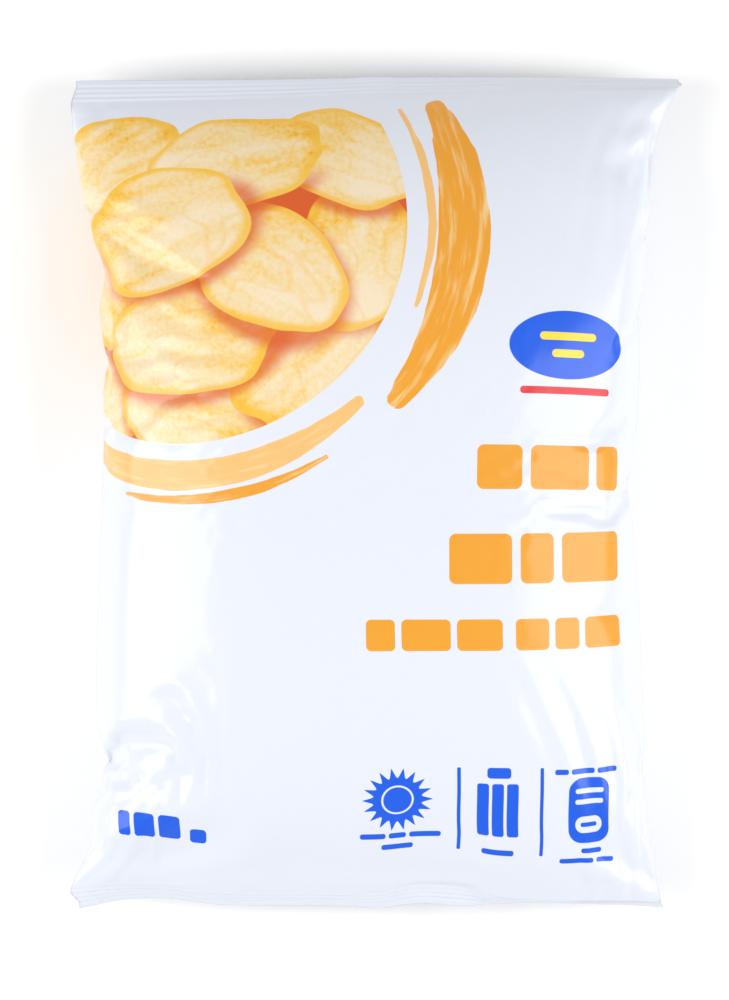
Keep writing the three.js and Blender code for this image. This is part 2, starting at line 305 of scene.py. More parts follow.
# The stage, in metres and watts
CAMERA_HEIGHT = 2.0
CAMERA_SENSOR = 36.0
CAMERA_NEAR = 0.01
SEEN_LENGTH = 0.3519
SEEN_LEVEL = 0.018
CAMERA_PLACE = (-0.0042, -0.0026)
FLOOR_SIZE = 6.0
FLOOR_ROUGHNESS = (0.2, 0.8, 0.62, 0.72)
BOX_SIZE = (0.9, 0.84)
BOX_ANGLE = 53
BOX_DISTANCE = 1.1
BOX_PLACE_Y = -0.18


def linear(red, green, blue):
    """A colour given as it looks on screen, 0 to 255, as the linear colour that materials use."""
    def channel(value):
        value = value / 255
        return value / 12.92 if value <= 0.04045 else ((value + 0.055) / 1.055) ** 2.4
    return (channel(red), channel(green), channel(blue), 1.0)


def through(stations, places):
    """Values at the places of a smooth curve through stations of (place, value)."""
    at, value = np.array(stations, float).T
    last = len(at) - 1
    before = np.maximum(np.arange(last + 1) - 1, 0)
    after = np.minimum(np.arange(last + 1) + 1, last)
    slope = (value[after] - value[before]) / (at[after] - at[before])
    places = np.clip(places, at[0], at[-1])
    start = np.clip(np.searchsorted(at, places, side="right") - 1, 0, last - 1)
    span = at[start + 1] - at[start]
    t = (places - at[start]) / span
    u = 1 - t
    ends = value[start] * u * u * (1 + 2 * t) + value[start + 1] * t * t * (1 + 2 * u)
    return ends + span * t * u * (slope[start] * u - slope[start + 1] * t)


def swell(y, body_half):
    """Share of the full thickness at a distance y from the middle of the bag."""
    end = np.minimum(1, np.abs(y) / body_half)
    return (1 - end ** END_POWER) ** END_SHOULDER


def middle_level(x, y, body_half):
    """Height of the surface half way between front and back, which droops towards the seals."""
    end = np.minimum(1, np.abs(y) / body_half)
    level = BACK_DEPTH - TABLE_PRESS - SEAL_DROOP * end ** DROOP_POWER
    for height, length, crest in SEAL_WAVES["top" if np.mean(y) > 0 else "bottom"]:
        level = level + height * np.cos(2 * np.pi * (x - crest) / length) * end ** WAVE_POWER
    return level


def row_place(x, y, body_half):
    """Where a row lies across the bag: straight in the middle, and along the seal's line at an end."""
    side = 1 if np.mean(y) > 0 else -1
    bend = through(SEAL_LINE["top" if side > 0 else "bottom"], x) - side * body_half
    return y + bend * (np.abs(y) / body_half) ** END_BEND


def on_table(z):
    """The height z with whatever is below the table pressed flat onto it."""
    blend = (z + TABLE_BLEND) ** 2 / (4 * TABLE_BLEND)
    return np.where(z > TABLE_BLEND, z, np.where(z < -TABLE_BLEND, 0, blend))


def arch(half_width, rise, power, panel_half):
    """Places across and heights of a rounded arch, for columns evenly spaced on the flat film.

    The middle keeps the film's lengths, and any surplus or want is taken up towards the sides.
    """
    angle = np.pi * (1 - np.arange(ARC_SAMPLES + 1) / ARC_SAMPLES)
    across = np.sign(np.cos(angle)) * np.abs(np.cos(angle)) ** (2 / power)
    up = np.abs(np.sin(angle)) ** (2 / power)
    run = np.hypot(np.diff(across) * half_width, np.diff(up) * rise)
    run = np.concatenate([[0], np.cumsum(run)])
    flat = np.linspace(-1, 1, COLUMNS + 1)
    surplus = run[-1] / 2 / panel_half - 1
    place = run[-1] / 2 + panel_half * flat * (1 + surplus * np.abs(flat) ** SIDE_CROWDING)
    return np.interp(place, run, across), np.interp(place, run, up)


def beside(x, y, start, end):
    """Each place's share of the way from start to end, and its distance off that line."""
    way = np.subtract(end, start)
    along = ((x - start[0]) * way[0] + (y - start[1]) * way[1]) / (way @ way)
    away = np.abs((x - start[0]) * way[1] - (y - start[1]) * way[0]) / math.hypot(*way)
    return along, away


def fold_height(x, y):
    """Height of the front's creases above the smooth film."""
    height = np.zeros_like(x)
    for start, end, rise, half_width in FRONT_FOLDS:
        along, away = beside(x, y, start, end)
        fade = np.where(along < 0, 1 + along / FOLD_LEAD, np.clip(1 - along, 0, 1) ** FOLD_FADE)
        height += rise * np.clip(fade, 0, 1) * np.clip(1 - away / half_width, 0, 1)
    return height


def dent_height(x, y):
    """Height of the front's dents above the smooth film."""
    height = np.zeros_like(x)
    for start, point, rise, half_width in FRONT_DENTS:
        along, away = beside(x, y, start, point)
        left = np.clip(1 - along, 0, 1)
        height += rise * left * np.clip(DENT_WALL * (left - away / half_width), 0, 1)
    return height


def row_places(body_half):
    """Distances along the bag of the body's rows, with equal lengths of film between them."""
    fine = np.linspace(-body_half, body_half, PROFILE_SAMPLES)
    profile = FRONT_RISE * swell(fine, body_half)
    run = np.concatenate([[0], np.cumsum(np.hypot(np.diff(fine), RISE_SHARE * np.diff(profile)))])
    return np.interp(np.linspace(0, run[-1], ROWS + 1), run, fine)


def without_notches(side, y):
    """A side's place across the bag, evened out over a stretch of the edge."""
    return np.mean([through(side, y + step) for step in NOTCH_SPAN], axis=0)


def section_row(middle_y, side_y, body_half, panel_half, rise, power):
    """One row of a panel: places across and along the bag, and how far the film bulges out."""
    half_width = (without_notches(RIGHT_SIDE, middle_y) - without_notches(LEFT_SIDE, middle_y)) / 2
    height = max(rise * float(swell(middle_y, body_half)), LEAST_RISE)
    across, up = arch(half_width, height, power, panel_half)
    y = middle_y + (side_y - middle_y) * np.abs(across) ** SIDE_CROWDING
    left = without_notches(LEFT_SIDE, y)
    right = without_notches(RIGHT_SIDE, y)
    x = (left + right) / 2 + across * (right - left) / 2
    x += (through(LEFT_SIDE, y) - left) * np.maximum(0, -across) ** NOTCH_REACH
    x += (through(RIGHT_SIDE, y) - right) * np.maximum(0, across) ** NOTCH_REACH
    return x, y, rise * swell(y, body_half) * up, up


def swollen_panels(body_half, panel_half):
    """The front and the back of the swollen bag before the film finds its own puckers, in millimetres."""
    panels = {"front": [], "back": []}
    at_sides = np.linspace(-body_half, body_half, ROWS + 1)
    for middle_y, side_y in zip(row_places(body_half), at_sides):
        for name, rise, power, side in (("front", FRONT_RISE, FRONT_SQUARE, 1),
                                        ("back", BACK_DEPTH, BACK_SQUARE, -1)):
            x, y, bulge, up = section_row(middle_y, side_y, body_half, panel_half, rise, power)
            if side > 0:
                folds = fold_height(x, y) + dent_height(x, y)
                bulge = bulge + folds * np.minimum(1, FOLD_ONSET * swell(y, body_half)) * up ** FOLD_SIDE
            z = on_table(middle_level(x, y, body_half) + side * bulge)
            panels[name].append(np.stack([x, row_place(x, y, body_half), z], axis=1))
    return np.array(panels["front"]), np.array(panels["back"])


def as_rings(front, back):
    """Rows of front and back points joined into closed rings, front first from left to right."""
    return np.concatenate([front, back[:, -2:0:-1]], axis=1)


def ring_numbers(rows, columns):
    """Vertex numbers of the rings; at the bonded ends the back points are the front's."""
    numbers = np.arange(rows * 2 * columns).reshape(rows, 2 * columns)
    for row in (0, rows - 1):
        numbers[row, columns + 1:] = numbers[row, columns - 1:0:-1]
    used, compact = np.unique(numbers, return_inverse=True)
    return used, compact.reshape(rows, 2 * columns)


def tube_faces(numbers):
    """Quads between neighbouring rings, facing outwards."""
    after = np.roll(numbers, -1, axis=1)
    quads = np.stack([numbers[:-1], after[:-1], after[1:], numbers[1:]], axis=-1)
    return quads.reshape(-1, 4)


def new_object(name, points, faces):
    """A mesh object with smooth faces, linked to the scene at the origin."""
    mesh = bpy.data.meshes.new(name)
    mesh.from_pydata(points.tolist(), [], [list(face) for face in faces])
    mesh.validate()
    mesh.shade_smooth()
    piece = bpy.data.objects.new(name, mesh)
    bpy.context.scene.collection.objects.link(piece)
    return piece


def coordinates(mesh):
    """The mesh's vertex places as an array."""
    places = np.zeros(len(mesh.vertices) * 3, np.float32)
    mesh.vertices.foreach_get("co", places)
    return places.reshape(-1, 3).astype(float)


def hold_weights(film, places):
    """How closely each point follows the planned shape: least at the long sides, which pucker freely."""
    middle = np.exp(-(places[:, 0] / MIDDLE_REACH) ** 4)
    corner = np.clip((np.abs(places[:, 1]) - CORNER_FROM) / CORNER_BLEND, 0, 1)
    return film.follow + (film.follow_firm - film.follow) * np.maximum(middle, corner)


def settled(film, body, target):
    """The simulated rings, drawn back to the planned shape, most of all at the sharply folded ends."""
    end = np.clip((np.abs(target[..., 1]) - CORNER_FROM) / CORNER_BLEND, 0, 1)
    share = film.side_share + (film.end_share - film.side_share) * end
    return body + (target - body) * share[..., None]


def flat_tube(film):
    """The rings of the flat film tube, with its two layers a hair apart, in millimetres."""
    flat = np.zeros((ROWS + 1, COLUMNS + 1, 3))
    flat[..., 0] = (np.arange(COLUMNS + 1) / COLUMNS - 0.5) * film.panel_width / MM
    flat[..., 1] = ((np.arange(ROWS + 1) / ROWS - 0.5) * film.body_length / MM)[:, None]
    apart = np.zeros((ROWS + 1, COLUMNS + 1, 3))
    apart[1:-1, 1:-1, 2] = film.layer_gap / MM
    return as_rings(flat + apart, flat - apart)


def hold_to(tube, film, target, weights, ends):
    """Lets the tube follow the target by its weights, and holds its ends and what lies on the table."""
    held = tube.vertex_groups.new(name="held")
    for number, weight in enumerate(weights):
        held.add([number], weight, "REPLACE")
    pressed = np.nonzero(target[:, 2] <= film.unevenness * film.cloth_scale)[0]
    held.add([int(v) for v in ends] + [int(v) for v in pressed], 1.0, "REPLACE")
    tube.shape_key_add(name="Basis")
    swollen = tube.shape_key_add(name="swollen")
    swollen.data.foreach_set("co", target.astype(np.float32).ravel())
    swollen.value = 0.0
    swollen.keyframe_insert("value", frame=1)
    swollen.value = 1.0
    swollen.keyframe_insert("value", frame=film.swell_frames)


def simulated(tube, film):
    """The places of the tube's points after the cloth simulation."""
    cloth = tube.modifiers.new("Cloth", "CLOTH")
    for name, value in CLOTH.items():
        setattr(cloth.settings, name, value)
    cloth.settings.tension_stiffness = film.stiffness
    cloth.settings.compression_stiffness = film.stiffness
    cloth.settings.shear_stiffness = film.stiffness / 2
    cloth.settings.bending_stiffness = film.bending
    cloth.settings.uniform_pressure_force = film.pressure
    cloth.settings.vertex_group_mass = "held"
    cloth.settings.pin_stiffness = film.hold
    cloth.settings.effector_weights.gravity = 0
    cloth.point_cache.frame_start = 1
    cloth.point_cache.frame_end = film.total_frames
    for step in range(1, film.total_frames + 1):
        bpy.context.scene.frame_set(step)
    seen = tube.evaluated_get(bpy.context.evaluated_depsgraph_get())
    return coordinates(seen.data)


def blown_up(film, target):
    """The body's rings after a cloth simulation that swells the flat tube into the sealed bag.

    The tube starts flat, so the cloth keeps the film's true lengths. It follows the swollen shape
    loosely, and the length that the shape doesn't take up turns into puckers along the sides.
    """
    unit = MM * film.cloth_scale
    used, numbers = ring_numbers(ROWS + 1, COLUMNS)
    start = flat_tube(film).reshape(-1, 3)[used] * unit
    target = target.reshape(-1, 3)[used]
    weights = hold_weights(film, target)
    chance = np.random.default_rng(film.seed)
    target[:, 2] += chance.normal(0, film.unevenness / MM, len(target))
    target = target * unit
    tube = new_object("film_in_simulation", start, tube_faces(numbers))
    hold_to(tube, film, target, weights, np.unique(numbers[[0, -1]]))
    places = simulated(tube, film) / unit
    bpy.data.objects.remove(tube)
    moved = places - target / unit
    distance = np.linalg.norm(moved, axis=1)
    share = np.minimum(1, film.largest_move / MM / np.maximum(distance, TINY))
    places = target / unit + moved * share[:, None]
    return places[numbers]


def doubled_along(rings):
    """Twice as many rows, with the new ones on a smooth curve through the old."""
    padded = np.concatenate([2 * rings[:1] - rings[1:2], rings, 2 * rings[-1:] - rings[-2:-1]])
    between = (9 * (padded[1:-2] + padded[2:-1]) - padded[:-3] - padded[3:]) / 16
    fine = np.empty((2 * len(rings) - 1,) + rings.shape[1:])
    fine[::2] = rings
    fine[1::2] = between
    return fine


def doubled_round(rings):
    """Twice as many points round each ring, on a smooth closed curve."""
    after = np.roll(rings, -1, axis=1)
    between = (9 * (rings + after) - np.roll(rings, 1, axis=1) - np.roll(rings, -2, axis=1)) / 16
    fine = np.empty((rings.shape[0], 2 * rings.shape[1]) + rings.shape[2:])
    fine[:, ::2] = rings
    fine[:, 1::2] = between
    return fine


def crimp_height(out, x, end):
    """Height of the uneven ridges that are pressed along a seal, at a distance out from its line."""
    long, short = CRIMP_WAVERS
    waver = CRIMP_WAVER[end] * (np.sin(x / long) + CRIMP_SHORT_SHARE * np.sin(x / short))
    crimped = (out + waver - CRIMP_START) / CRIMP_PITCH
    quick, slow = CRIMP_CHANGES
    depth = CRIMP_DEPTH[end] * (1 + CRIMP_UNEVENNESS * np.sin(x / quick) * np.cos(x / slow + out))
    return np.where((crimped > 0) & (crimped < CRIMP_COUNT), -depth * np.sin(2 * np.pi * crimped), 0)


def fin_shows(x):
    """Height of the step that the back's fin seal makes where it is sealed in with the end."""
    return FIN_STEP * np.clip((FIN_WIDTH / 2 - np.abs(x - FIN_CENTRE)) / FIN_STEP_BLEND + 0.5, 0, 1)


def seal_rings(film, line, body_half, end):
    """The rings of one end seal, from the body outwards, and how far out each of them is.

    line is the row of points where front and back meet, from left to right.
    """
    toward = 1 if end == "top" else -1
    across = np.linspace(0, 1, len(line))
    closing = np.minimum(1, np.minimum(across, 1 - across) * len(line) / 2)
    outs = np.linspace(0, film.seal_height / MM, SEAL_ROWS + 1)
    rings = []
    for out in outs:
        left = through(LEFT_SIDE, toward * (body_half + out)) - line[0, 0]
        right = through(RIGHT_SIDE, toward * (body_half + out)) - line[-1, 0]
        x = line[:, 0] + left + (right - left) * across
        tilt = np.radians(through(SEAL_TILT[end], x))
        sides = []
        for half in (FILM_THICKNESS / 2, -FILM_THICKNESS / 2):
            lift = crimp_height(out, x, end) + fin_shows(x) + half * closing
            y = line[:, 1] + toward * (out * np.cos(tilt) + lift * np.sin(tilt))
            z = line[:, 2] - out * np.sin(tilt) + lift * np.cos(tilt)
            sides.append(np.stack([x, y, z], axis=1))
        rings.append(as_rings(sides[0][None], sides[1][None])[0])
    return np.array(rings), outs


def place_in_frame(rings):
    """How far to move the rings, so that the bag lies in the middle of its box and on the table."""
    low = rings.reshape(-1, 3).min(0)
    high = rings.reshape(-1, 3).max(0)
    target = (BAG_LOW + BAG_HIGH) / 2 / MM
    middle = (low + high) / 2
    return np.array([target.x - middle[0], target.y - middle[1], BAG_LOW.z / MM - low[2]])


def above_fin(body):
    """The body with its back lifted off the table where the fin seal lies under it."""
    away = (body[..., 0] - FIN_CENTRE) / (FIN_WIDTH / 2 + FIN_MARGIN)
    body[..., 2] = np.maximum(on_table(body[..., 2]), FIN_ROOM * np.exp(-away ** 4))
    return body


def bag_rings(film):
    """All rings of the bag from the bottom edge to the top edge, and each ring's place on the flat film."""
    body_half = (BAG_LENGTH / 2 - film.end_reach) / MM
    body = as_rings(*swollen_panels(body_half, film.panel_width / 2 / MM))
    body = settled(film, blown_up(film, body), body)
    body = doubled_round(doubled_along(body))
    body = above_fin(body)
    columns = 2 * COLUMNS
    along = np.linspace(-0.5, 0.5, len(body)) * film.body_length / MM
    bottom, outs = seal_rings(film, body[0, :columns + 1], body_half, "bottom")
    top, _ = seal_rings(film, body[-1, :columns + 1], body_half, "top")
    rings = np.concatenate([bottom[::-1], body[1:-1], top])
    flat = np.concatenate([along[0] - outs[::-1], along[1:-1], along[-1] + outs])
    return rings + place_in_frame(rings), flat


def end_faces(numbers, columns, facing_up):
    """Faces that close a seal's cut edge between its front and back layers."""
    faces = []
    for place in range(columns):
        back = -place % (2 * columns)
        corners = [numbers[place], numbers[place + 1], numbers[-(place + 1) % (2 * columns)], numbers[back]]
        kept = list(dict.fromkeys(int(c) for c in corners))
        faces.append(kept if facing_up else kept[::-1])
    return faces


def read_all(items, attribute):
    """A whole number of each item, as an array."""
    values = np.zeros(len(items), int)
    items.foreach_get(attribute, values)
    return values


def film_map(mesh, columns, flat, width):
    """Writes each corner's place on the flat film, in metres, to the UV map named film."""
    layer = mesh.uv_layers.new(name="film")
    ring = 2 * columns
    row, round_place = np.divmod(read_all(mesh.loops, "vertex_index"), ring)
    starts = read_all(mesh.polygons, "loop_start")
    face_of = np.repeat(np.arange(len(starts)), read_all(mesh.polygons, "loop_total"))
    lowest = np.minimum.reduceat(round_place, starts)
    highest = np.maximum.reduceat(round_place, starts)
    wraps = highest - lowest > ring // 2
    left_back = np.where(wraps, highest, lowest)[face_of] >= columns * 3 // 2
    place = np.where(wraps[face_of] & (round_place == 0), ring, round_place)
    across = (place / columns - 0.5 - 2 * left_back) * width
    along = np.array(flat)[row] * MM
    layer.data.foreach_set("uv", np.stack([across, along], axis=1).astype(np.float32).ravel())


def mesh_from_rings(name, rings, flat, width):
    """One closed mesh of the film, with its UV map."""
    rows, ring = rings.shape[:2]
    columns = ring // 2
    numbers = np.arange(rows * ring).reshape(rows, ring)
    faces = [list(map(int, face)) for face in tube_faces(numbers)]
    faces += end_faces(numbers[0], columns, False)
    faces += end_faces(numbers[-1], columns, True)
    piece = new_object(name, rings.reshape(-1, 3) * MM, faces)
    film_map(piece.data, columns, flat, width)
    return piece


def fin_seal_rings(rings):
    """The fin seal as a closed strip that follows the middle of the bag's back, a little into both seals."""
    columns = rings.shape[1] // 2
    from_end = SEAL_ROWS - FIN_ROWS_IN_SEAL
    across = FIN_CENTRE + (np.arange(FIN_COLUMNS + 1) / FIN_COLUMNS - 0.5) * FIN_WIDTH
    rows = []
    for row in rings[from_end:-from_end, columns:]:
        order = np.argsort(row[:, 0])
        y = np.interp(across, row[order, 0], row[order, 1])
        z = np.interp(across, row[order, 0], row[order, 2])
        rows.append(np.stack([across, y, z], axis=1))
    rows = np.array(rows)
    outward = np.cross(np.gradient(rows, axis=0), np.gradient(rows, axis=1))
    outward /= np.linalg.norm(outward, axis=2, keepdims=True)
    ridge = FIN_RIDGE_DEPTH * np.sin(2 * np.pi * across / FIN_RIDGE_PITCH)[None, :, None]
    inner = rows + outward * FIN_GAP
    outer = rows + outward * (FIN_THICKNESS + ridge)
    outer[..., 2] = np.maximum(outer[..., 2], FIN_CLEARANCE)
    return as_rings(outer, inner)


def add_node(tree, kind, **settings):
    """A new node with its settings; inputs are given by name in a dictionary called values."""
    values = settings.pop("values", {})
    node = tree.nodes.new(kind)
    for setting, value in settings.items():
        setattr(node, setting, value)
    for socket, value in values.items():
        if isinstance(value, bpy.types.NodeSocket):
            tree.links.new(value, node.inputs[socket])
        else:
            node.inputs[socket].default_value = value
    return node


def calculate(tree, operation, *terms, clamp=False):
    """The output of a Math node; each term is a number or another node's output."""
    node = add_node(tree, "ShaderNodeMath", operation=operation, use_clamp=clamp,
                    values=dict(enumerate(terms)))
    return node.outputs[0]


def vector_sum(tree, operation, *terms, output="Vector"):
    """The output of a Vector Math node."""
    node = add_node(tree, "ShaderNodeVectorMath", operation=operation, values=dict(enumerate(terms)))
    return node.outputs[output]


def minus(tree, value, other):
    """The difference of two values."""
    return calculate(tree, "SUBTRACT", value, other)


def size_of(tree, value):
    """A value without its sign."""
    return calculate(tree, "ABSOLUTE", value)


def length_of(tree, vector):
    """The length of a vector."""
    return vector_sum(tree, "LENGTH", vector, output="Value")


def distance_of(tree, place, other):
    """The distance between two places."""
    return vector_sum(tree, "DISTANCE", place, other, output="Value")


def painted(tree, share, below, above):
    """The colour below with the colour above laid over it, by a share from 0 to 1."""
    node = add_node(tree, "ShaderNodeMix", data_type="RGBA",
                    values={"Factor": share, "A": below, "B": above})
    return node.outputs["Result"]


def ramp(tree, value, low, high, to_low=0.0, to_high=1.0):
    """A smooth step of the value from low to high."""
    node = add_node(tree, "ShaderNodeMapRange", interpolation_type="SMOOTHSTEP", values={
        "Value": value, "From Min": low, "From Max": high, "To Min": to_low, "To Max": to_high})
    return node.outputs["Result"]


def noise(tree, place, kind):
    """The value at a place of one of the noises."""
    scale, detail, roughness, distortion = NOISES[kind]
    node = add_node(tree, "ShaderNodeTexNoise", values={
        "Vector": place, "Scale": scale, "Detail": detail, "Roughness": roughness,
        "Distortion": distortion})
    return node.outputs["Fac"]


def shifted_noise(tree, value, reach):
    """A noise value spread evenly above and below zero."""
    return calculate(tree, "MULTIPLY_ADD", value, reach, -reach / 2)


def axes_of(tree, vector):
    """The X, Y and Z outputs of a vector."""
    return add_node(tree, "ShaderNodeSeparateXYZ", values={"Vector": vector}).outputs


def angle_of(tree, vector):
    """The angle of a vector about Z, from +X."""
    axes = axes_of(tree, vector)
    return calculate(tree, "ARCTAN2", axes["Y"], axes["X"])


def vector_of(tree, **axes):
    """A vector made of its X, Y and Z values."""
    return add_node(tree, "ShaderNodeCombineXYZ", values=axes).outputs["Vector"]


def turned_back(tree, vector, angle):
    """The vector turned about Z by minus the angle."""
    node = add_node(tree, "ShaderNodeVectorRotate", rotation_type="Z_AXIS", invert=True,
                    values={"Vector": vector, "Angle": angle})
    return node.outputs["Vector"]


def socket_kind(value):
    """The kind of socket that holds a number, a vector or a colour."""
    if isinstance(value, (int, float)):
        return "NodeSocketFloat"
    return "NodeSocketVector" if len(value) == 3 else "NodeSocketColor"


def shader_group(name, inputs, outputs):
    """A shader node group: its tree, and its inputs' and outputs' sockets as seen inside."""
    tree = bpy.data.node_groups.new(name, "ShaderNodeTree")
    for way, sockets in (("INPUT", inputs), ("OUTPUT", outputs)):
        for socket, value in sockets.items():
            made = tree.interface.new_socket(socket, in_out=way, socket_type=socket_kind(value))
            made.default_value = value
    return tree, tree.nodes.new("NodeGroupInput").outputs, tree.nodes.new("NodeGroupOutput").inputs


def shape_group(name, inputs, outputs):
    """The same for a printed shape, with each place as seen from the shape's centre."""
    inputs = {"Place": (0, 0, 0), "Centre": (0, 0, 0), **inputs}
    tree, given, made = shader_group(name, inputs, outputs)
    return tree, given, made, vector_sum(tree, "SUBTRACT", given["Place"], given["Centre"])


def use_group(tree, group, **values):
    """A node of the group, with its inputs set; words in a name are joined by underscores."""
    named = {socket.replace("_", " "): value for socket, value in values.items()}
    return add_node(tree, "ShaderNodeGroup", node_tree=group, values=named)


def shared_group(name, make):
    """The node group of that name, which is made the first time that it is asked for."""
    return bpy.data.node_groups.get(name) or make()


def inside(tree, distance):
    """1 where a signed distance in millimetres is inside a printed shape, with a thin soft edge."""
    return calculate(tree, "MULTIPLY_ADD", distance, -1 / PRINT_EDGE, 0.5, clamp=True)


def rounded_bar_group():
    """A mask of a bar with round corners."""
    tree, given, made, place = shape_group(
        "rounded bar", {"Half Size": (5, 2, 0), "Corner": 1.0}, {"Mask": 0.0})
    beyond = vector_sum(tree, "SUBTRACT", vector_sum(tree, "ABSOLUTE", place), given["Half Size"])
    beyond = vector_sum(tree, "ADD", beyond, given["Corner"])
    outer = vector_sum(tree, "MULTIPLY", vector_sum(tree, "MAXIMUM", beyond, (0, 0, 0)), (1, 1, 0))
    distance = minus(tree, length_of(tree, outer), given["Corner"])
    tree.links.new(inside(tree, distance), made["Mask"])
    return tree


def arc_band_group():
    """A mask of a brushed band along part of a circle, which narrows to its ends, and its pale streaks."""
    tree, given, made, place = shape_group(
        "arc band", {"Radius": 50.0, "Half Width": 5.0, "Middle Angle": 0.0, "Half Angle": 1.0},
        {"Mask": 0.0, "Streaks": 0.0})
    place = turned_back(tree, place, given["Middle Angle"])
    angle = angle_of(tree, place)
    brushed = vector_of(tree, X=calculate(tree, "MULTIPLY", angle, given["Radius"]),
                        Y=calculate(tree, "MULTIPLY", length_of(tree, place), BRUSH_STRETCH))
    bristles = noise(tree, brushed, "bristles")
    half_angle = given["Half Angle"]
    angle = calculate(tree, "MINIMUM", angle, half_angle)
    angle = calculate(tree, "MAXIMUM", angle, calculate(tree, "MULTIPLY", half_angle, -1))
    nearest = vector_of(
        tree, X=calculate(tree, "MULTIPLY", calculate(tree, "COSINE", angle), given["Radius"]),
        Y=calculate(tree, "MULTIPLY", calculate(tree, "SINE", angle), given["Radius"]))
    to_end = calculate(tree, "DIVIDE", angle, half_angle)
    narrowing = calculate(tree, "MULTIPLY_ADD", calculate(tree, "MULTIPLY", to_end, to_end), -BRUSH_TAPER, 1)
    half_width = calculate(tree, "MULTIPLY", given["Half Width"], narrowing)
    frayed = calculate(tree, "MULTIPLY_ADD", bristles, BRUSH_FRAY, distance_of(tree, place, nearest))
    distance = minus(tree, frayed, calculate(tree, "ADD", half_width, BRUSH_FRAY / 2))
    tree.links.new(inside(tree, distance), made["Mask"])
    tree.links.new(ramp(tree, bristles, *BRUSH_STREAKS), made["Streaks"])
    return tree


def rosette_group():
    """A mask of a round flower with pointed petals."""
    tree, given, made, place = shape_group(
        "rosette", {"Inner": 8.0, "Outer": 12.0, "Petals": 14.0}, {"Mask": 0.0})
    half_petals = calculate(tree, "DIVIDE", given["Petals"], 2)
    turn = calculate(tree, "MULTIPLY", angle_of(tree, place), half_petals)
    petal = minus(tree, 1, size_of(tree, calculate(tree, "SINE", turn)))
    reach = minus(tree, given["Outer"], given["Inner"])
    rim = calculate(tree, "MULTIPLY_ADD", petal, reach, given["Inner"])
    tree.links.new(inside(tree, minus(tree, length_of(tree, place), rim)), made["Mask"])
    return tree


def crisp_tone(tree, given, unit, seeded, radius):
    """How dark each place of a crisp is fried, from 0 to 1."""
    axes = axes_of(tree, unit)
    saddle = calculate(tree, "MULTIPLY", axes["X"], given["Curl"])
    saddle = calculate(tree, "MULTIPLY_ADD", axes["Y"], SADDLE_LEAN, saddle)
    folds = noise(tree, vector_sum(tree, "MULTIPLY", seeded, FOLDS_STRETCH), "crisp folds")
    tone = calculate(tree, "MULTIPLY_ADD", saddle, TONE_SADDLE, TONE_MIDDLE)
    tone = calculate(tree, "ADD", tone, shifted_noise(tree, folds, TONE_FOLDS))
    tone = calculate(tree, "ADD", tone, shifted_noise(tree, given["Blisters"], TONE_BLISTERS))
    return calculate(tree, "ADD", tone, ramp(tree, radius, *CRISP_BROWNING), clamp=True)


def crisp_shades(tree, tone, colours):
    """The colours of a crisp by its tone."""
    shades = add_node(tree, "ShaderNodeValToRGB", values={"Fac": tone})
    stops = shades.color_ramp.elements
    stops.remove(stops[1])
    palest, *darker = CRISP_STOPS
    stops[0].position = palest[0]
    stops[0].color = colours[palest[1]]
    for position, name in darker:
        stops.new(position).color = colours[name]
    return shades.outputs["Color"]


def crisp_group(colours):
    """One fried crisp laid over a picture: a wavy oval with a soft shadow, yellow rim and pale blisters."""
    tree, given, made, place = shape_group("printed crisp", {
        "Below": (1, 1, 1, 1), "Half Size": (30, 20, 1), "Turn": 0.0, "Curl": 1.0, "Variant": 0.0,
        "Blisters": 0.5, "Shadow": 1.0}, {"Colour": (1, 1, 1, 1)})
    place = turned_back(tree, place, given["Turn"])
    unit = vector_sum(tree, "MULTIPLY", vector_sum(tree, "DIVIDE", place, given["Half Size"]), (1, 1, 0))
    seeded = vector_sum(tree, "ADD", unit, vector_of(tree, Z=given["Variant"]))
    wobble = noise(tree, seeded, "crisp outline")
    radius = calculate(tree, "ADD", length_of(tree, unit), shifted_noise(tree, wobble, CRISP_WOBBLE))
    shades = crisp_shades(tree, crisp_tone(tree, given, unit, seeded, radius), colours)
    crease = size_of(tree, minus(tree, wobble, 0.5))
    yellow = calculate(tree, "MAXIMUM", ramp(tree, radius, *CRISP_RIM), ramp(tree, crease, *CRISP_CREASE))
    crisp = painted(tree, yellow, shades, colours["gold"])
    shifted = vector_sum(tree, "ADD", unit, SHADOW_SHIFT)
    shadow = ramp(tree, length_of(tree, shifted), *CRISP_SHADOW)
    shadow = calculate(tree, "MULTIPLY", shadow, given["Shadow"])
    below = painted(tree, shadow, given["Below"], colours["shade"])
    tree.links.new(painted(tree, ramp(tree, radius, *CRISP_EDGE), below, crisp), made["Colour"])
    return tree


def film_finish_group():
    """The fine unevenness of thin plastic film: its roughness and its surface relief."""
    tree, given, made = shader_group(
        "film finish", {"Place": (0, 0, 0), "Roughness": 0.25}, {"Roughness": 0.25, "Height": 0.0})
    cloudy = noise(tree, given["Place"], "cloudy film")
    rough = calculate(tree, "ADD", given["Roughness"], shifted_noise(tree, cloudy, ROUGHNESS_REACH))
    stretched = vector_sum(tree, "MULTIPLY", given["Place"], CRINKLE_STRETCH)
    tree.links.new(rough, made["Roughness"])
    tree.links.new(noise(tree, stretched, "crinkled film"), made["Height"])
    return tree


def along_row(pieces, right, gap):
    """Centres and widths of blocks set side by side, ending at the right."""
    placed = []
    edge = right
    for width in reversed(pieces):
        placed.append((edge - width / 2, width))
        edge -= width + gap
    return placed


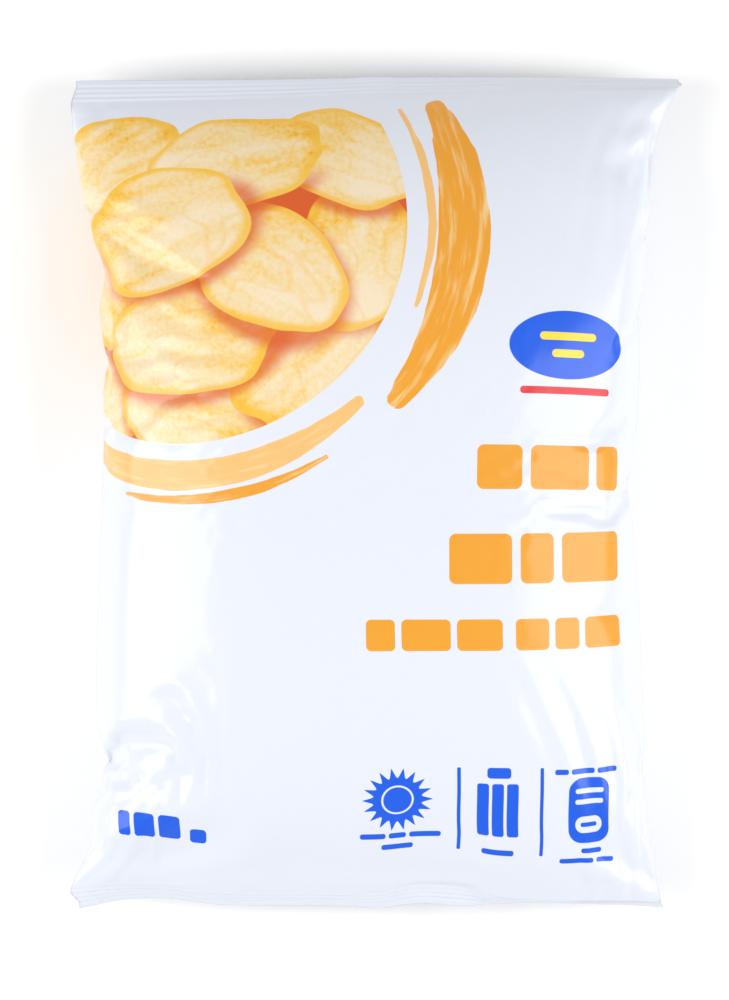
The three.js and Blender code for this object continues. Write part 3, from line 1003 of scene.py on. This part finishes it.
def printed_blocks(tree, place, rows, colour, paint):
    """Rows of small printed bars and blocks, laid over the colour."""
    bar = shared_group("rounded bar", rounded_bar_group)
    for (right, middle, height), widths, gap, corner, tone in rows:
        for centre, width in along_row(widths, right, gap):
            mask = use_group(tree, bar, Place=place, Centre=(centre, middle, 0),
                             Half_Size=(width / 2, height / 2, 0), Corner=corner)
            colour = painted(tree, mask.outputs["Mask"], colour, paint[tone])
    return colour


def crisps_picture(tree, place, colour, paint):
    """The round picture of crisps in the upper left corner, laid over the colour."""
    window = inside(tree, minus(tree, distance_of(tree, place, WINDOW_CENTRE), WINDOW_RADIUS))
    height = axes_of(tree, place)["Y"]
    ground = painted(tree, ramp(tree, height, *GROUND_TOP), paint["shade"], colour)
    blisters = noise(tree, place, "blisters")
    crisp = crisp_group(paint)
    shadow = ramp(tree, height, *SHADOW_TOP)
    for number, (centre, half_size, turn, curl) in enumerate(CRISPS):
        ground = use_group(tree, crisp, Below=ground, Place=place, Centre=(*centre, 0),
                           Half_Size=(*half_size, 1), Turn=math.radians(turn), Curl=curl,
                           Variant=number * VARIANT_STEP, Blisters=blisters, Shadow=shadow).outputs["Colour"]
    return painted(tree, window, colour, ground)


def arc_bands(tree, place, colour, paint):
    """The plain arcs round the picture, laid over the colour."""
    band = arc_band_group()
    for radius, half_width, middle, half_angle, tone in ARCS:
        mask = use_group(tree, band, Place=place, Centre=WINDOW_CENTRE, Radius=radius,
                         Half_Width=half_width, Middle_Angle=math.radians(middle),
                         Half_Angle=math.radians(half_angle))
        brushed = painted(tree, mask.outputs["Streaks"], paint[tone], paint["straw"])
        colour = painted(tree, mask.outputs["Mask"], colour, brushed)
    return colour


def badge(tree, place, colour, paint):
    """The oval badge, laid over the colour."""
    offset = vector_sum(tree, "SUBTRACT", place, (*BADGE_CENTRE, 0))
    unit = length_of(tree, vector_sum(tree, "DIVIDE", offset, (*BADGE_HALF, 1)))
    distance = calculate(tree, "MULTIPLY", minus(tree, unit, 1), BADGE_HALF[1])
    return painted(tree, inside(tree, distance), colour, paint["blue"])


def rosette(tree, place, colour, paint):
    """The round flower with a thin white ring, laid over the colour."""
    flower = use_group(tree, rosette_group(), Place=place, Centre=(*ROSETTE_CENTRE, 0),
                       Inner=ROSETTE_INNER, Outer=ROSETTE_OUTER, Petals=ROSETTE_PETALS)
    colour = painted(tree, flower.outputs["Mask"], colour, paint["blue"])
    away = distance_of(tree, place, (*ROSETTE_CENTRE, 0))
    ring = size_of(tree, minus(tree, away, ROSETTE_RING))
    line = inside(tree, minus(tree, ring, ROSETTE_LINE))
    return painted(tree, line, colour, paint["white"])


def print_colour(tree, place, region, paint):
    """The printed colour of one region of the film."""
    if region == "picture":
        colour = arc_bands(tree, place, paint["white"], paint)
        return crisps_picture(tree, place, colour, paint)
    if region == "title":
        colour = badge(tree, place, paint["white"], paint)
        return printed_blocks(tree, place, TITLE_ROWS, colour, paint)
    if region == "signs":
        colour = rosette(tree, place, paint["white"], paint)
        return printed_blocks(tree, place, SIGN_ROWS, colour, paint)
    return None


def new_material(name):
    """A material with its node tree and its shader."""
    material = bpy.data.materials.new(name)
    material.use_nodes = True
    return material, material.node_tree, material.node_tree.nodes["Principled BSDF"]


def millimetres(tree, place):
    """A place in metres as millimetres."""
    return add_node(tree, "ShaderNodeVectorMath", operation="SCALE",
                    values={0: place, "Scale": 1 / MM}).outputs["Vector"]


def film_material(settings, region):
    """White glossy film with the print of one region, or plain."""
    material, tree, shader = new_material(region + " film")
    paint = {name: tuple(getattr(settings, name)) for name in PRINT_COLOURS}
    place = millimetres(tree, add_node(tree, "ShaderNodeUVMap", uv_map="film").outputs["UV"])
    shader.inputs["Base Color"].default_value = paint["white"]
    colour = print_colour(tree, place, region, paint)
    if colour is not None:
        tree.links.new(colour, shader.inputs["Base Color"])
    finish_film(tree, shader, place, settings)
    return material


def region_of(across, along):
    """The printed region that holds a place on the flat film, in millimetres."""
    if math.hypot(across - WINDOW_CENTRE[0], along - WINDOW_CENTRE[1]) < PICTURE_REACH:
        return "picture"
    if TITLE_BETWEEN[0] < along < TITLE_BETWEEN[1] and across > TITLE_RIGHT_OF:
        return "title"
    if along < SIGNS_BELOW and across > -BAG_WIDTH / MM / 2:
        return "signs"
    return "plain"


def finish_film(tree, shader, place, settings):
    """The gloss and fine relief that all the bag's film has."""
    group = shared_group("film finish", film_finish_group)
    finish = use_group(tree, group, Place=place, Roughness=settings.roughness).outputs
    bump = add_node(tree, "ShaderNodeBump", values={
        "Height": finish["Height"], "Strength": 1.0, "Distance": settings.crinkle})
    tree.links.new(finish["Roughness"], shader.inputs["Roughness"])
    tree.links.new(bump.outputs["Normal"], shader.inputs["Normal"])
    shader.inputs["Coat Weight"].default_value = settings.coat
    shader.inputs["Coat Roughness"].default_value = settings.coat_roughness
    shader.inputs["Coat IOR"].default_value = COAT_IOR
    shader.inputs["Specular IOR Level"].default_value = SPECULAR_LEVEL


def print_regions(bag, settings):
    """Gives each face the film of the printed region that it lies in."""
    for region in REGIONS:
        bag.data.materials.append(film_material(settings, region))
    places = bag.data.uv_layers["film"].uv
    for face in bag.data.polygons:
        across = sum(places[corner].vector.x for corner in face.loop_indices) / face.loop_total / MM
        along = sum(places[corner].vector.y for corner in face.loop_indices) / face.loop_total / MM
        face.material_index = REGIONS.index(region_of(across, along))


def fin_material(settings):
    """Unprinted film of the fin seal."""
    material, tree, shader = new_material("fin film")
    place = millimetres(tree, add_node(tree, "ShaderNodeTexCoord").outputs["Object"])
    shader.inputs["Base Color"].default_value = settings.white
    finish_film(tree, shader, place, settings)
    return material


def floor_material(settings):
    """Pale matt table top with a faint unevenness."""
    material, tree, shader = new_material("table top")
    cloudy = noise(tree, add_node(tree, "ShaderNodeTexCoord").outputs["Object"], "cloudy table")
    tree.links.new(ramp(tree, cloudy, *FLOOR_ROUGHNESS), shader.inputs["Roughness"])
    shader.inputs["Base Color"].default_value = settings.floor_colour
    return material


def soft_box(name, angle, power):
    """A large lamp beside the bag's lower half, at an angle off the vertical, to the right if above 0."""
    lamp = bpy.data.lights.new(name, "AREA")
    lamp.shape = "RECTANGLE"
    lamp.size, lamp.size_y = BOX_SIZE
    lamp.energy = power
    box = bpy.data.objects.new(name, lamp)
    bpy.context.scene.collection.objects.link(box)
    slant = math.radians(angle)
    box.location = Vector((math.sin(slant), 0, math.cos(slant))) * BOX_DISTANCE
    box.location.y = BOX_PLACE_Y
    box.rotation_euler = (0, slant, 0)
    return box


def white_room(brightness):
    """Even white light from all round."""
    world = bpy.data.worlds.new("studio")
    world.use_nodes = True
    background = world.node_tree.nodes["Background"]
    background.inputs["Color"].default_value = (1, 1, 1, 1)
    background.inputs["Strength"].default_value = brightness
    return world


def camera_above():
    """A camera that looks straight down and sees a set length at the level of the bag's outline."""
    lens = bpy.data.cameras.new("camera")
    lens.sensor_width = CAMERA_SENSOR
    lens.lens = CAMERA_SENSOR * (CAMERA_HEIGHT - SEEN_LEVEL) / SEEN_LENGTH
    lens.clip_start = CAMERA_NEAR
    camera = bpy.data.objects.new("camera", lens)
    bpy.context.scene.collection.objects.link(camera)
    camera.location = (*CAMERA_PLACE, CAMERA_HEIGHT)
    return camera


def a_number(name, default, description, **kind):
    """A setting that is a plain number, unless the kind says more."""
    return bpy.props.FloatProperty(name=name, description=description, default=default, **kind)


def a_length(name, default, description):
    """A setting in metres."""
    return a_number(name, default, description, unit="LENGTH")


def a_share(name, default, description):
    """A setting from 0 to 1."""
    return a_number(name, default, description, subtype="FACTOR", min=0, max=1)


def a_count(name, default, description):
    """A setting that is a whole number."""
    return bpy.props.IntProperty(name=name, description=description, default=default)


def a_colour(name, description):
    """A colour setting whose default is the printed colour of that name."""
    return bpy.props.FloatVectorProperty(
        name=name.capitalize(), description=description, subtype="COLOR", size=4, min=0, max=1,
        default=linear(*PRINT_COLOURS[name]))


class FilmSettings(bpy.types.PropertyGroup):
    """Sizes of the film tube and how it is swollen."""

    panel_width: a_length("Panel width", BAG_WIDTH, "Width of the flat tube of film")
    body_length: a_length(
        "Body length", BAG_LENGTH * FILM_SLACK, "Length of the flat film between the end seals")
    seal_height: a_length("Seal height", 0.0095, "Height of each flat end seal")
    end_reach: a_length("End reach", 0.00707, "How far a tilted seal reaches along the bag")
    layer_gap: a_length("Layer gap", 0.0005, "Half the gap between the layers of the flat tube")
    unevenness: a_length("Unevenness", 0.00015, "Small random relief that lets the film buckle")
    largest_move: a_length("Largest move", 0.014, "How far the film may stray from the planned shape")
    cloth_scale: a_number("Cloth scale", 10, "How much larger the film is while it is simulated")
    stiffness: a_number("Stiffness", 400, "How strongly the film keeps its lengths")
    bending: a_number("Bending", 20, "How strongly the film resists creases")
    pressure: a_number("Pressure", 10, "Push of the air inside")
    hold: a_number("Hold", 10, "Strength of the springs to the planned shape")
    follow: a_share("Follow", 0.2, "How closely the film follows the planned shape")
    follow_firm: a_share("Firm follow", 0.8, "How closely the middle and the ends of the bag follow it")
    side_share: a_share("Side share", 0.4, "How far the film is drawn back to the planned shape at last")
    end_share: a_share("End share", 0.7, "How far its ends are drawn back")
    swell_frames: a_count("Swelling frames", 10, "Frames in which the flat tube is opened")
    total_frames: a_count("Total frames", 40, "Frames of the whole simulation")
    seed: a_count("Seed", 3, "Chooses the random relief")


class PrintSettings(bpy.types.PropertyGroup):
    """Colours of the print and the gloss of the film."""

    white: a_colour("white", "Film without print")
    orange: a_colour("orange", "Blocks of the title and the wide arc")
    apricot: a_colour("apricot", "Paler arcs")
    yellow: a_colour("yellow", "Bars on the badge")
    pale: a_colour("pale", "Palest part of a crisp")
    straw: a_colour("straw", "Middle of a crisp")
    gold: a_colour("gold", "Rim and creases of a crisp")
    rust: a_colour("rust", "Darkest part of a crisp")
    shade: a_colour("shade", "Gaps and shadows between the crisps")
    blue: a_colour("blue", "Badge, rosette and small blocks")
    red: a_colour("red", "Bar under the badge")
    roughness: a_share("Roughness", 0.34, "Roughness of the film")
    coat: a_share("Coat", 0.45, "Strength of the clear gloss over the print")
    coat_roughness: a_share("Coat roughness", 0.13, "Roughness of the clear gloss")
    crinkle: a_length("Crinkle", 0.0006, "Depth of the film's fine relief")


class StageSettings(bpy.types.PropertyGroup):
    """Lights, floor and camera."""

    left_power: a_number("Left soft box", 7.2, "Power of the lamp on the left", unit="POWER")
    right_power: a_number("Right soft box", 7.2, "Power of the lamp on the right", unit="POWER")
    surround: a_number("Surround", 0.62, "Brightness of the room")
    floor_colour: bpy.props.FloatVectorProperty(
        name="Floor", description="Colour of the table", subtype="COLOR", size=4, min=0, max=1,
        default=(0.985, 0.985, 0.985, 1))


class BAG_OT_film(bpy.types.Operator):
    """Swells the printed film into the sealed bag"""

    bl_idname = "crisp_bag.film"
    bl_label = "Film"

    def execute(self, context):
        film = context.scene.crisp_bag_film
        rings, flat = bag_rings(film)
        bag = mesh_from_rings("swollen_film", rings, flat, film.panel_width)
        print_regions(bag, context.scene.crisp_bag_print)
        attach(bag, "root")
        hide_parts("crisp_bag")
        return {"FINISHED"}


class BAG_OT_fin_seal(bpy.types.Operator):
    """Lays the fin seal flat against the back of the bag"""

    bl_idname = "crisp_bag.fin_seal"
    bl_label = "Fin seal"

    def execute(self, context):
        bag = bpy.data.objects.get("swollen_film")
        if bag is None:
            raise RuntimeError("make the film before its fin seal")
        rings = coordinates(bag.data).reshape(-1, 4 * COLUMNS, 3) / MM
        strip = fin_seal_rings(rings)
        numbers = np.arange(strip.shape[0] * strip.shape[1]).reshape(strip.shape[:2])
        faces = [list(map(int, face))[::-1] for face in tube_faces(numbers)]
        faces += end_faces(numbers[0], FIN_COLUMNS, True)
        faces += end_faces(numbers[-1], FIN_COLUMNS, False)
        fin = new_object("fin_seal", strip.reshape(-1, 3) * MM, faces)
        fin.data.materials.append(fin_material(context.scene.crisp_bag_print))
        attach(fin, "root")
        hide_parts("crisp_bag")
        return {"FINISHED"}


class BAG_OT_stage(bpy.types.Operator):
    """Sets up the table, the soft boxes and the camera above the bag"""

    bl_idname = "crisp_bag.stage"
    bl_label = "Stage"

    def execute(self, context):
        settings = context.scene.crisp_bag_stage
        bpy.ops.object.select_all(action="DESELECT")
        bpy.ops.mesh.primitive_plane_add(size=FLOOR_SIZE, location=(0, 0, 0))
        floor = context.object
        floor.name = "table_top"
        floor.data.materials.append(floor_material(settings))
        soft_box("left_soft_box", -BOX_ANGLE, settings.left_power)
        soft_box("right_soft_box", BOX_ANGLE, settings.right_power)
        context.scene.world = white_room(settings.surround)
        context.scene.camera = camera_above()
        context.scene.view_settings.view_transform = "Standard"
        return {"FINISHED"}


class BAG_PT_panel(bpy.types.Panel):
    """Lists the settings and the steps of the bag"""

    bl_idname = "BAG_PT_panel"
    bl_label = "Crisp bag"
    bl_space_type = "VIEW_3D"
    bl_region_type = "UI"
    bl_category = "Crisp bag"

    def draw(self, context):
        layout = self.layout
        for name, kind in SETTINGS.items():
            box = layout.box()
            for setting in kind.__annotations__:
                box.prop(getattr(context.scene, name), setting)
        for step in STEPS:
            layout.operator(step.bl_idname)


SETTINGS = {
    "crisp_bag_film": FilmSettings, "crisp_bag_print": PrintSettings, "crisp_bag_stage": StageSettings,
}
STEPS = (BAG_OT_film, BAG_OT_fin_seal, BAG_OT_stage)
CLASSES = (*SETTINGS.values(), *STEPS, BAG_PT_panel)


def register():
    """Adds the settings, the steps and the panel to Blender."""
    for kind in CLASSES:
        bpy.utils.register_class(kind)
    for name, kind in SETTINGS.items():
        setattr(bpy.types.Scene, name, bpy.props.PointerProperty(type=kind))


def unregister():
    """Takes them out again."""
    for name in SETTINGS:
        delattr(bpy.types.Scene, name)
    for kind in reversed(CLASSES):
        bpy.utils.unregister_class(kind)


def main():
    """Makes the bag and its stage, step by step."""
    register()
    bpy.ops.object.select_all(action="DESELECT")
    bpy.ops.crisp_bag.film()
    bpy.ops.crisp_bag.fin_seal()
    bpy.ops.crisp_bag.stage()


if __name__ == "__main__":
    main()
